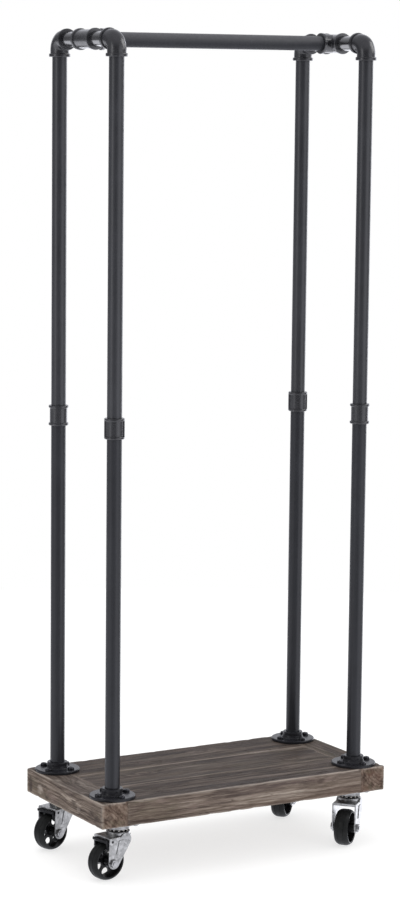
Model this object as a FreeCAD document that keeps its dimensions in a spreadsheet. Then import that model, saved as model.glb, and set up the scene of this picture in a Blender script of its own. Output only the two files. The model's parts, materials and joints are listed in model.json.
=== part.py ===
import FreeCAD, Part
import Sketcher
import math
import os

# Firewood rack on casters: black pipe uprights and fittings on a wooden base.
# Frame: +Z up, +X along the length, +Y towards the back, origin on the floor
# under the middle of the base.  Millimetres.

V = FreeCAD.Vector
doc = FreeCAD.newDocument("FirewoodRack")
sheet = doc.addObject("Spreadsheet::Sheet", "Params")

DIMENSIONS = [
    ("base_length", 600, "base along X"),
    ("base_depth", 300, "base along Y"),
    ("base_thick", 46, "board thickness"),
    ("caster_height", 101.5, "floor to underside of base"),
    ("end_board_w", 52, "width of the cross boards at the ends"),
    ("plank_w", 100, "width of each long plank"),
    ("board_gap", 0.2, "shadow gap between boards"),
    ("board_ease", 1.6, "eased edge of the boards"),
    ("dowel_d", 8, "dowel diameter"),
    ("dowel_len", 60, "dowel length"),
    ("dowel_pitch", 44, "spacing of the two dowels in a plank"),
    ("dowel_drop", 25, "dowel axis below the deck"),
    ("upright_x", 257.5, "upright axis from the centre along X"),
    ("upright_y", 108, "upright axis from the centre along Y"),
    ("tube_od", 26.9, "pipe outside diameter"),
    ("tube_wall", 2.6, "pipe wall"),
    ("socket_slack", 0.06, "radial clearance of pipe in socket"),
    ("pipe_lift", 2, "pipe foot above the deck"),
    ("coupling_z", 812, "coupling centre"),
    ("coupling_len", 37, "coupling length"),
    ("coupling_band_d", 36.4, "coupling end band diameter"),
    ("coupling_body_d", 32, "coupling body diameter"),
    ("coupling_band_w", 5, "coupling end band width"),
    ("coupling_rib_w", 7, "coupling rib width"),
    ("pipe_end_gap", 2, "gap between pipe ends in the coupling"),
    ("rib_turn_a", -30, "coupling rib direction, front left and back right"),
    ("rib_turn_b", 60, "coupling rib direction, front right and back left"),
    ("top_axis_z", 1490, "axis of the top fittings"),
    ("reach", 31, "fitting centre to end"),
    ("engage", 13, "pipe engaged in a fitting"),
    ("fit_body_d", 34, "elbow and tee body diameter"),
    ("fit_band_d", 38.5, "elbow and tee end band diameter"),
    ("fit_band_w", 6, "elbow and tee end band width"),
    ("fit_bore_d", 21, "inner passage"),
    ("bend_r", 19, "elbow bend radius"),
    ("band_round", 1.2, "rounding of the end bands"),
    ("flange_d", 83, "floor flange diameter"),
    ("flange_rim", 5, "floor flange rim thickness"),
    ("flange_hub_d", 41, "hub diameter at its foot"),
    ("flange_top_d", 38, "hub diameter at its top"),
    ("flange_h", 17, "floor flange height"),
    ("flange_pcd", 60, "screw circle"),
    ("flange_hole_d", 6, "flange screw hole"),
    ("flange_turn_fl", 5, "screw circle turn, front left"),
    ("flange_turn_bl", 30, "screw circle turn, back left"),
    ("flange_turn_fr", 3, "screw circle turn, front right"),
    ("flange_turn_br", 5, "screw circle turn, back right"),
    ("flange_screw_d", 5, "flange screw shank"),
    ("flange_head_d", 12.5, "flange screw head"),
    ("flange_head_h", 5, "flange screw head height"),
    ("screw_d", 4.5, "plate screw shank"),
    ("screw_head_d", 9, "plate screw head"),
    ("screw_head_h", 2.8, "plate screw head height"),
    ("flange_screw_len", 25, "flange screw under the head"),
    ("plate_screw_len", 19, "plate screw under the head"),
    ("kingpin_x", 247.5, "kingpin axis from the centre along X"),
    ("kingpin_y", 112, "kingpin axis from the centre along Y"),
    ("plate_x", 64, "caster plate along X"),
    ("plate_y", 56, "caster plate along Y"),
    ("plate_t", 3, "caster plate thickness"),
    ("plate_round", 8, "caster plate corner radius"),
    ("plate_hole_x", 49, "plate screw spacing along X"),
    ("plate_hole_y", 41, "plate screw spacing along Y"),
    ("race_d", 42, "pressed ball race diameter"),
    ("race_h", 8, "pressed ball race depth"),
    ("ball_d", 5, "bearing ball"),
    ("ball_pitch_r", 16, "ball circle radius"),
    ("ball_slack", 0.3, "groove larger than ball"),
    ("race_gap", 3.5, "gap between the two races"),
    ("dome_d", 43, "raised race of the crown"),
    ("dome_h", 6.5, "raised race above the crown"),
    ("dome_t", 3, "raised race sheet"),
    ("dome_round", 2, "raised race edge rounding"),
    ("king_d", 10, "kingpin shank"),
    ("king_head_d", 18, "kingpin lower head"),
    ("king_head_h", 3, "kingpin lower head height"),
    ("king_top_d", 16, "kingpin countersunk head"),
    ("king_top_h", 2.4, "kingpin countersunk head height"),
    ("swivel_fl", 189, "trail direction, front left"),
    ("swivel_bl", 197, "trail direction, back left"),
    ("swivel_fr", 221, "trail direction, front right"),
    ("swivel_br", 220.5, "trail direction, back right"),
    ("trail", 27, "kingpin to axle"),
    ("wheel_d", 68, "wheel diameter"),
    ("tyre_w", 35.4, "tyre blank width, before rounding and boring"),
    ("tyre_t", 4, "tyre thickness"),
    ("tyre_round", 14, "tyre shoulder"),
    ("tread_groove_r", 0.9, "tread groove section radius"),
    ("tread_groove_v", 5, "tread groove offset"),
    ("rim_w", 26, "rim width"),
    ("rim_t", 2.2, "rim thickness"),
    ("web_t", 4, "web thickness"),
    ("hub_d", 18, "wheel hub diameter"),
    ("hub_w", 39, "wheel hub length"),
    ("web_hole_d", 15, "round hole in the web"),
    ("web_hole_r", 19.5, "web hole circle radius"),
    ("spin_fl", -81, "web hole direction, front left"),
    ("spin_bl", -65.6, "web hole direction, back left"),
    ("spin_fr", 20, "web hole direction, front right"),
    ("spin_br", 5, "web hole direction, back right"),
    ("axle_d", 8, "axle bolt"),
    ("axle_slack", 0.06, "radial running clearance"),
    ("hex_d", 15, "hex across corners"),
    ("bolt_head_h", 3.4, "bolt head height"),
    ("nut_h", 4.5, "nut height"),
    ("bolt_proud", 1, "bolt end past the nut"),
    ("fork_w", 46, "fork outside width"),
    ("fork_t", 2.5, "fork sheet"),
    ("crown_t", 3, "fork crown thickness"),
    ("lip_t", 2.5, "crown lip thickness"),
    ("lip_h", 4.5, "crown lip height"),
    ("fork_rear", 36, "rear of the crown behind the kingpin"),
    ("leg_r", 12, "rounding of the leg's shoulder and foot"),
    ("shoulder_u", -0.5, "centre of the leg's shoulder along the trail"),
    ("shoulder_z", 73.5, "centre of the leg's shoulder above the floor"),
    ("foot_u", 25.5, "centre of the leg's foot along the trail"),
    ("foot_z", 35, "centre of the leg's foot above the floor"),
    ("rib_proud", 1.1, "embossed rib on the leg"),
    ("crown_round", 2.2, "crown edge rounding"),
    ("pedal_w", 39.6, "pedal width"),
    ("cheek_t", 3.2, "pedal cheek beside the tyre"),
    ("pivot_u", 29, "pedal pivot behind the kingpin"),
    ("pivot_z", 73.2, "pedal pivot height"),
    ("pivot_d", 5, "pedal trunnion"),
    ("pivot_slack", 0.08, "radial running clearance"),
]
for row, (alias, number, note) in enumerate(DIMENSIONS, start=1):
    sheet.set("A%d" % row, alias)
    sheet.set("B%d" % row, str(number))
    sheet.set("C%d" % row, note)
    sheet.setAlias("B%d" % row, alias)
doc.recompute()


class Dim:
    """A length that carries its number and the sheet expression it comes from."""

    def __init__(self, number, text):
        self.number, self.text = float(number), text

    def __add__(self, other):
        other = dim(other)
        return Dim(self.number + other.number, "(%s + %s)" % (self.text, other.text))

    def __radd__(self, other):
        return dim(other) + self

    def __sub__(self, other):
        other = dim(other)
        return Dim(self.number - other.number, "(%s - %s)" % (self.text, other.text))

    def __rsub__(self, other):
        return dim(other) - self

    def __mul__(self, other):
        other = dim(other)
        return Dim(self.number * other.number, "(%s * %s)" % (self.text, other.text))

    def __rmul__(self, other):
        return dim(other) * self

    def __truediv__(self, other):
        other = dim(other)
        return Dim(self.number / other.number, "(%s / %s)" % (self.text, other.text))

    def __neg__(self):
        return Dim(-self.number, "(0 - %s)" % self.text)


def dim(value):
    return value if isinstance(value, Dim) else Dim(value, "(%r)" % float(value))


def cosd(value):
    value = dim(value)
    return Dim(math.cos(math.radians(value.number)), "cos(%s)" % value.text)


def sind(value):
    value = dim(value)
    return Dim(math.sin(math.radians(value.number)), "sin(%s)" % value.text)


def root(value):
    value = dim(value)
    return Dim(math.sqrt(value.number), "sqrt(%s)" % value.text)


class SheetNames:
    def __getattr__(self, alias):
        return Dim(sheet.get(alias), "Params.%s" % alias)


p = SheetNames()
NODES = []
ALONG_Y = FreeCAD.Rotation(V(1, 0, 0), -90)
ALONG_X = FreeCAD.Rotation(V(0, 1, 0), 90)


def bind(obj, prop, value):
    obj.setExpression(prop, dim(value).text)


def put(obj, x=0, y=0, z=0, rotation=None):
    """Fixed rotation, sheet-bound position."""
    if rotation is not None:
        obj.Placement = FreeCAD.Placement(V(0, 0, 0), rotation)
    for axis, value in (("x", x), ("y", y), ("z", z)):
        if dim(value).text != "(0.0)":
            bind(obj, "Placement.Base." + axis, value)
    return obj


def put_turned(obj, x, y, z, angle):
    """Sheet-bound position and turn about Z."""
    obj.setExpression(
        "Placement",
        "create(<<placement>>; create(<<vector>>; %s; %s; %s); "
        "create(<<rotation>>; create(<<vector>>; 0; 0; 1); %s))"
        % (dim(x).text, dim(y).text, dim(z).text, dim(angle).text),
    )
    return obj


def cylinder(radius, height, x=0, y=0, z=0, rotation=None):
    obj = doc.addObject("Part::Cylinder", "Cylinder")
    bind(obj, "Radius", radius)
    bind(obj, "Height", height)
    return put(obj, x, y, z, rotation)


def cone(radius1, radius2, height, x=0, y=0, z=0, rotation=None):
    obj = doc.addObject("Part::Cone", "Cone")
    bind(obj, "Radius1", radius1)
    bind(obj, "Radius2", radius2)
    bind(obj, "Height", height)
    return put(obj, x, y, z, rotation)


def box(length, width, height, x=0, y=0, z=0, rotation=None):
    obj = doc.addObject("Part::Box", "Box")
    bind(obj, "Length", length)
    bind(obj, "Width", width)
    bind(obj, "Height", height)
    return put(obj, x, y, z, rotation)


def torus(radius1, radius2, x=0, y=0, z=0, rotation=None, sweep=360):
    obj = doc.addObject("Part::Torus", "Torus")
    bind(obj, "Radius1", radius1)
    bind(obj, "Radius2", radius2)
    obj.Angle3 = sweep
    return put(obj, x, y, z, rotation)


def hexagon(corner_d, height, x=0, y=0, z=0, rotation=None):
    obj = doc.addObject("Part::Prism", "Prism")
    obj.Polygon = 6
    bind(obj, "Circumradius", corner_d / 2)
    bind(obj, "Height", height)
    return put(obj, x, y, z, rotation)


def fuse(*shapes):
    obj = doc.addObject("Part::MultiFuse", "Fusion")
    obj.Shapes = list(shapes)
    obj.Refine = True
    return obj


def group(shapes):
    obj = doc.addObject("Part::Compound", "Group")
    obj.Links = list(shapes)
    return obj


def cut(base, *tools):
    obj = doc.addObject("Part::Cut", "Cut")
    obj.Base = base
    obj.Tool = tools[0] if len(tools) == 1 else fuse(*tools)
    obj.Refine = True
    return obj


def common(first, second):
    obj = doc.addObject("Part::Common", "Common")
    obj.Base, obj.Tool = first, second
    return obj


def edges_where(shape, test):
    return [i for i, edge in enumerate(shape.Edges, start=1) if test(edge)]


def soften(base, radius, test, kind="Part::Fillet"):
    """Fillet or chamfer the edges that pass the test."""
    doc.recompute()
    found = edges_where(base.Shape, test)
    if not found:
        raise RuntimeError("no edge to soften on " + base.Label)
    obj = doc.addObject(kind, "Soften")
    obj.Base = base
    obj.Edges = [(i, dim(radius).number, dim(radius).number) for i in found]
    return obj


def is_circle(radius):
    def test(edge):
        return (
            isinstance(edge.Curve, Part.Circle)
            and abs(edge.Curve.Radius - dim(radius).number) < 1e-3
        )

    return test


def copies(master, places):
    """The same solid at several places, as one group."""
    links = []
    for x, y, z, angle in places:
        link = doc.addObject("App::Link", "Copy")
        link.LinkedObject = master
        put_turned(link, x, y, z, angle)
        links.append(link)
    return group(links)


def node(obj, label):
    obj.Label = label
    NODES.append((obj, label))
    return obj


# ---- sketch helpers -------------------------------------------------------


def new_body(label):
    body = doc.addObject("PartDesign::Body", "Body")
    body.Label = label
    return body


def new_sketch(body, role, offset=0):
    sketch = body.newObject("Sketcher::SketchObject", "Sketch")
    plane = [f for f in body.Origin.OriginFeatures if f.Role == role][0]
    sketch.AttachmentSupport = (plane, "")
    sketch.MapMode = "FlatFace"
    if dim(offset).number:
        bind(sketch, "AttachmentOffset.Base.z", offset)
    return sketch


def fix_point(sketch, geo, pos, x, y):
    """Pin a sketch point at sheet-bound coordinates."""
    for kind, value, other_axis in (("DistanceX", dim(x), -2), ("DistanceY", dim(y), -1)):
        if abs(value.number) < 1e-9:
            sketch.addConstraint(Sketcher.Constraint("PointOnObject", geo, pos, other_axis))
        elif value.number > 0:
            i = sketch.addConstraint(
                Sketcher.Constraint(kind, -1, 1, geo, pos, value.number)
            )
            sketch.setExpression("Constraints[%d]" % i, value.text)
        else:
            i = sketch.addConstraint(
                Sketcher.Constraint(kind, geo, pos, -1, 1, -value.number)
            )
            sketch.setExpression("Constraints[%d]" % i, (-value).text)


def draw_circle(sketch, radius, x=0, y=0):
    radius, x, y = dim(radius), dim(x), dim(y)
    geo = sketch.addGeometry(
        Part.Circle(V(x.number, y.number, 0), V(0, 0, 1), radius.number), False
    )
    if x.number == 0 and y.number == 0:
        sketch.addConstraint(Sketcher.Constraint("Coincident", geo, 3, -1, 1))
    else:
        fix_point(sketch, geo, 3, x, y)
    i = sketch.addConstraint(Sketcher.Constraint("Radius", geo, radius.number))
    sketch.setExpression("Constraints[%d]" % i, radius.text)


def draw_polygon(sketch, points):
    points = [(dim(x), dim(y)) for x, y in points]
    lines = []
    for (x0, y0), (x1, y1) in zip(points, points[1:] + points[:1]):
        lines.append(
            sketch.addGeometry(
                Part.LineSegment(V(x0.number, y0.number, 0), V(x1.number, y1.number, 0)),
                False,
            )
        )
    for first, second in zip(lines, lines[1:] + lines[:1]):
        sketch.addConstraint(Sketcher.Constraint("Coincident", first, 2, second, 1))
    for geo, (x, y) in zip(lines, points):
        fix_point(sketch, geo, 1, x, y)


def pad(body, sketch, length, both_ways=False, down=False):
    feature = body.newObject("PartDesign::Pad", "Pad")
    feature.Profile = sketch
    bind(feature, "Length", length)
    if both_ways:
        feature.SideType = "Symmetric"
    feature.Reversed = down
    body.Tip = feature
    return feature


def pocket(body, sketch, length, both_ways=False, down=False):
    feature = body.newObject("PartDesign::Pocket", "Pocket")
    feature.Profile = sketch
    bind(feature, "Length", length)
    if both_ways:
        feature.SideType = "Symmetric"
    feature.Reversed = down
    body.Tip = feature
    return feature


def revolve(body, sketch):
    feature = body.newObject("PartDesign::Revolution", "Revolution")
    feature.Profile = sketch
    feature.ReferenceAxis = (sketch, ["V_Axis"])
    feature.Angle = 360
    body.Tip = feature
    return feature


def round_edges(body, base, radius, test):
    doc.recompute()
    names = ["Edge%d" % i for i in edges_where(base.Shape, test)]
    if not names:
        raise RuntimeError("no edge to round on " + body.Label)
    feature = body.newObject("PartDesign::Fillet", "Fillet")
    feature.Base = (base, names)
    bind(feature, "Radius", radius)
    body.Tip = feature
    return feature


def must_lose(body, before, after):
    """A cut that removes nothing is a mistake."""
    doc.recompute()
    if after.Shape.Volume > before.Shape.Volume - 1e-3:
        raise RuntimeError("a cut removed nothing on " + body.Label)


# ---- places ---------------------------------------------------------------

CORNERS = {
    "front_left": (-1, -1, "fl"),
    "front_right": (1, -1, "fr"),
    "back_left": (-1, 1, "bl"),
    "back_right": (1, 1, "br"),
}


def per_corner(stem, short):
    return getattr(p, stem + "_" + short)


deck_z = p.caster_height + p.base_thick
base_z = p.caster_height
pipe_r = p.tube_od / 2
socket_r = pipe_r + p.socket_slack
top_pipe_end = p.top_axis_z - p.reach + p.engage

# ---- base boards ----------------------------------------------------------

half_l, half_d = p.base_length / 2, p.base_depth / 2
joint_x = half_l - p.end_board_w
dowel_z = deck_z - p.dowel_drop

flange_screws, plate_screws, dowels = [], [], []
for label, (sx, sy, short) in CORNERS.items():
    for k in range(4):
        a = per_corner("flange_turn", short) + 90 * k
        flange_screws.append(
            (
                sx * p.upright_x + p.flange_pcd / 2 * cosd(a),
                sy * p.upright_y + p.flange_pcd / 2 * sind(a),
            )
        )
    for kx in (-1, 1):
        for ky in (-1, 1):
            plate_screws.append(
                (
                    sx * p.kingpin_x + kx * p.plate_hole_x / 2,
                    sy * p.kingpin_y + ky * p.plate_hole_y / 2,
                )
            )
for row in (-1, 0, 1):
    for side in (-1, 1):
        for k in (-1, 1):
            dowels.append((side * joint_x, row * p.plank_w + k * p.dowel_pitch / 2))

BOARDS = {
    "end_board_left": (-half_l, -joint_x - p.board_gap / 2, -half_d, half_d),
    "end_board_right": (joint_x + p.board_gap / 2, half_l, -half_d, half_d),
    "plank_front": (-joint_x + p.board_gap / 2, joint_x - p.board_gap / 2, -half_d, -p.plank_w / 2 - p.board_gap / 2),
    "plank_middle": (-joint_x + p.board_gap / 2, joint_x - p.board_gap / 2, -p.plank_w / 2 + p.board_gap / 2, p.plank_w / 2 - p.board_gap / 2),
    "plank_back": (-joint_x + p.board_gap / 2, joint_x - p.board_gap / 2, p.plank_w / 2 + p.board_gap / 2, half_d),
}
flange_hole_r = p.flange_screw_d / 2 + p.socket_slack
plate_hole_r = p.screw_d / 2 + p.socket_slack
for label, (x0, x1, y0, y1) in BOARDS.items():
    blank = box(x1 - x0, y1 - y0, p.base_thick, x0, y0, base_z)
    eased = soften(blank, p.board_ease, lambda e: True, "Part::Chamfer")
    inside = lambda x, y: x0.number < x.number < x1.number and y0.number < y.number < y1.number
    holes = []
    for x, y in flange_screws:
        if inside(x, y):
            depth = p.flange_screw_len - p.flange_rim + 0.5
            holes.append(cylinder(flange_hole_r, depth + 1, x, y, deck_z - depth))
    for x, y in plate_screws:
        if inside(x, y):
            depth = p.plate_screw_len - p.plate_t + 0.5
            holes.append(cylinder(plate_hole_r, depth + 1, x, y, base_z - 1))
    for x, y in dowels:
        if y0.number < y.number < y1.number and min(abs(x.number - x0.number), abs(x.number - x1.number)) < 5:
            holes.append(
                cylinder(p.dowel_d / 2 + p.socket_slack, p.dowel_len + 1, x - (p.dowel_len + 1) / 2, y, dowel_z, ALONG_X)
            )
    node(cut(eased, group(holes)), label)

dowel = soften(cylinder(p.dowel_d / 2, p.dowel_len, -p.dowel_len / 2, 0, 0, ALONG_X), 0.8, is_circle(p.dowel_d / 2), "Part::Chamfer")
node(copies(dowel, [(x, y, dowel_z, 0) for x, y in dowels]), "board_dowels")


def wood_screw(length, shank_d, head_d, head_h):
    """Pan head with a cross recess, head down on z = 0, shank below it."""
    head = soften(cylinder(head_d / 2, head_h), head_h * 0.6, lambda e: is_circle(head_d / 2)(e) and e.BoundBox.ZMax > 1)
    shank = cylinder(shank_d / 2, length - 4, 0, 0, 4 - length)
    tip = cone(0.4, shank_d / 2, 4, 0, 0, -length)
    solid = fuse(head, shank, tip)
    arm, width = head_d * 0.53, head_d * 0.12
    slot_a = box(arm, width, 2, -arm / 2, -width / 2, head_h - 1.6)
    slot_b = box(width, arm, 2, -width / 2, -arm / 2, head_h - 1.6)
    return cut(solid, slot_a, slot_b)


flange_screw = wood_screw(p.flange_screw_len, p.flange_screw_d, p.flange_head_d, p.flange_head_h)
node(
    copies(flange_screw, [(x, y, deck_z + p.flange_rim, 17 * i) for i, (x, y) in enumerate(flange_screws)]),
    "flange_screws",
)
plate_screw_up = wood_screw(p.plate_screw_len, p.screw_d, p.screw_head_d, p.screw_head_h)
flipped = doc.addObject("App::Link", "Flipped")
flipped.LinkedObject = plate_screw_up
flipped.Placement = FreeCAD.Placement(V(0, 0, 0), FreeCAD.Rotation(V(1, 0, 0), 180))
plate_screw = group([flipped])
node(
    copies(plate_screw, [(x, y, base_z - p.plate_t, 23 * i) for i, (x, y) in enumerate(plate_screws)]),
    "plate_screws",
)

# ---- pipes ----------------------------------------------------------------


def pipe(label, length, x, y, z, rotation=None):
    body = new_body(label)
    sketch = new_sketch(body, "XY_Plane")
    draw_circle(sketch, pipe_r)
    draw_circle(sketch, pipe_r - p.tube_wall)
    pad(body, sketch, length)
    put(body, x, y, z, rotation)
    return node(body, label)


foot_z = deck_z + p.pipe_lift
lower_end = p.coupling_z - p.pipe_end_gap / 2
upper_start = p.coupling_z + p.pipe_end_gap / 2
nipple_len = p.upright_y - 2 * p.reach + 2 * p.engage
nipple_in = p.reach - p.engage
cross_half = p.upright_x - p.reach + p.engage

for label, (sx, sy, short) in CORNERS.items():
    pipe("lower_pipe_" + label, lower_end - foot_z, sx * p.upright_x, sy * p.upright_y, foot_z)
    pipe("upper_pipe_" + label, top_pipe_end - upper_start, sx * p.upright_x, sy * p.upright_y, upper_start)
    start = nipple_in if sy > 0 else -nipple_in - nipple_len
    pipe("nipple_" + label, nipple_len, sx * p.upright_x, start, p.top_axis_z, ALONG_Y)
pipe("cross_pipe", 2 * cross_half, -cross_half, 0, p.top_axis_z, ALONG_X)

# ---- floor flanges --------------------------------------------------------

for label, (sx, sy, short) in CORNERS.items():
    body = new_body("floor_flange_" + label)
    sketch = new_sketch(body, "XZ_Plane")
    rim_r, hub_r, top_r = p.flange_d / 2, p.flange_hub_d / 2, p.flange_top_d / 2
    draw_polygon(
        sketch,
        [
            (socket_r, 0),
            (rim_r, 0),
            (rim_r, p.flange_rim),
            (hub_r, p.flange_rim),
            (top_r, p.flange_h - 6.5),
            (top_r, p.flange_h),
            (socket_r, p.flange_h),
        ],
    )
    turned = revolve(body, sketch)
    holes = new_sketch(body, "XY_Plane")
    for k in range(4):
        draw_circle(holes, p.flange_hole_d / 2, p.flange_pcd / 2 * cosd(90 * k + 0.0), p.flange_pcd / 2 * sind(90 * k + 0.0)) if k in (0, 2) else draw_circle(
            holes, p.flange_hole_d / 2, 0, (1 if k == 1 else -1) * p.flange_pcd / 2
        )
    drilled = pocket(body, holes, p.flange_h, both_ways=True)
    must_lose(body, turned, drilled)
    rounded = round_edges(
        body, drilled, 2.0,
        lambda e: is_circle(rim_r)(e) and abs(e.BoundBox.ZMax - p.flange_rim.number) < 1e-3,
    )
    rounded = round_edges(
        body, rounded, 3.0,
        lambda e: is_circle(hub_r)(e) and abs(e.BoundBox.ZMax - p.flange_rim.number) < 1e-3,
    )
    rounded = round_edges(
        body, rounded, 1.4,
        lambda e: is_circle(top_r)(e) and abs(e.BoundBox.ZMax - p.flange_h.number) < 1e-3,
    )
    put_turned(body, sx * p.upright_x, sy * p.upright_y, deck_z, per_corner("flange_turn", short))
    node(body, "floor_flange_" + label)

# ---- couplings ------------------------------------------------------------

for label, (sx, sy, short) in CORNERS.items():
    band_r, body_r = p.coupling_band_d / 2, p.coupling_body_d / 2
    half = p.coupling_len / 2
    barrel = cylinder(body_r, p.coupling_len, 0, 0, -half)
    bands = [
        soften(cylinder(band_r, p.coupling_band_w, 0, 0, z), 1.6, is_circle(band_r))
        for z in (-half, half - p.coupling_band_w)
    ]
    rib = common(
        box(p.coupling_band_d, p.coupling_rib_w, p.coupling_len - 4, -band_r, -p.coupling_rib_w / 2, 2 - half),
        cylinder(band_r, p.coupling_len, 0, 0, -half),
    )
    solid = cut(fuse(barrel, rib, *bands), cylinder(socket_r, p.coupling_len + 2, 0, 0, -half - 1))
    turn = p.rib_turn_a if short in ("fl", "br") else p.rib_turn_b
    put_turned(solid, sx * p.upright_x, sy * p.upright_y, p.coupling_z, turn)
    node(solid, "coupling_" + label)

# ---- elbows and tees ------------------------------------------------------

body_r, band_r, bore_r = p.fit_body_d / 2, p.fit_band_d / 2, p.fit_bore_d / 2
bend_axes = FreeCAD.Rotation(V(0, -1, 0), V(0, 0, 1), V(-1, 0, 0), "XYZ")


def band(x, y, z, rotation=None):
    return soften(cylinder(band_r, p.fit_band_w, x, y, z, rotation), p.band_round, is_circle(band_r))


for label, (sx, sy, short) in CORNERS.items():
    # One leg hangs down, the other runs along +Y; the back elbows are turned half round.
    straight = p.reach - p.bend_r
    outer = fuse(
        torus(p.bend_r, body_r, 0, p.bend_r, -p.bend_r, bend_axes, 90),
        cylinder(body_r, straight, 0, 0, -p.reach),
        cylinder(body_r, straight, 0, p.bend_r, 0, ALONG_Y),
        band(0, 0, -p.reach),
        band(0, p.reach - p.fit_band_w, 0, ALONG_Y),
    )
    inner = fuse(
        torus(p.bend_r, bore_r, 0, p.bend_r, -p.bend_r, bend_axes, 90),
        cylinder(bore_r, straight, 0, 0, -p.reach),
        cylinder(bore_r, straight, 0, p.bend_r, 0, ALONG_Y),
        cylinder(socket_r, p.engage + 1, 0, 0, -p.reach - 1),
        cylinder(socket_r, p.engage + 1, 0, p.reach - p.engage, 0, ALONG_Y),
    )
    solid = cut(outer, inner)
    put_turned(solid, sx * p.upright_x, sy * p.upright_y, p.top_axis_z, 0 if sy < 0 else 180)
    node(solid, "elbow_" + label)

for label, sx in (("left", -1), ("right", 1)):
    # Run along Y, branch along +X; the right tee is turned half round.
    outer = fuse(
        cylinder(body_r, 2 * p.reach, 0, -p.reach, 0, ALONG_Y),
        cylinder(body_r, p.reach, 0, 0, 0, ALONG_X),
        band(0, -p.reach, 0, ALONG_Y),
        band(0, p.reach - p.fit_band_w, 0, ALONG_Y),
        band(p.reach - p.fit_band_w, 0, 0, ALONG_X),
    )
    inner = fuse(
        cylinder(bore_r, 2 * p.reach, 0, -p.reach, 0, ALONG_Y),
        cylinder(bore_r, p.reach, 0, 0, 0, ALONG_X),
        cylinder(socket_r, p.engage + 1, 0, -p.reach - 1, 0, ALONG_Y),
        cylinder(socket_r, p.engage + 1, 0, p.reach - p.engage, 0, ALONG_Y),
        cylinder(socket_r, p.engage + 1, p.reach - p.engage, 0, 0, ALONG_X),
    )
    solid = cut(outer, inner)
    put_turned(solid, sx * p.upright_x, 0, p.top_axis_z, 0 if sx < 0 else 180)
    node(solid, "tee_" + label)

# ---- casters --------------------------------------------------------------
# Caster frame: origin on the floor under the kingpin, +X along the trail,
# +Y along the axle, +Z up.

axle_z = p.wheel_d / 2
plate_low = base_z - p.plate_t
race_low = plate_low - p.race_h
dome_top = race_low - p.race_gap
dome_low = dome_top - p.dome_t
crown_top = dome_top - p.dome_h
crown_low = crown_top - p.crown_t
ball_z = dome_top + p.race_gap / 2
groove_r = p.ball_d / 2 + p.ball_slack
half_fork = p.fork_w / 2
half_gap = half_fork - p.fork_t

king_low = dome_low - 0.3 - p.king_head_h
kingpin = fuse(
    cylinder(p.king_d / 2, base_z - king_low, 0, 0, king_low),
    soften(cylinder(p.king_head_d / 2, p.king_head_h, 0, 0, king_low), 1.0, lambda e: is_circle(p.king_head_d / 2)(e) and e.BoundBox.ZMax < king_low.number + 0.1),
    cone(p.king_d / 2, p.king_top_d / 2, p.king_top_h, 0, 0, base_z - p.king_top_h),
)
KINGS = [(sx * p.kingpin_x, sy * p.kingpin_y, 0, 0) for sx, sy, short in CORNERS.values()]
node(copies(kingpin, KINGS), "kingpins")

ball = doc.addObject("Part::Sphere", "Ball")
bind(ball, "Radius", p.ball_d / 2)
BALLS = []
for sx, sy, short in CORNERS.values():
    for k in range(12):
        BALLS.append(
            (
                sx * p.kingpin_x + p.ball_pitch_r * cosd(30 * k + 7.0),
                sy * p.kingpin_y + p.ball_pitch_r * sind(30 * k + 7.0),
                ball_z,
                0,
            )
        )
node(copies(ball, BALLS), "swivel_balls")

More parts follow.
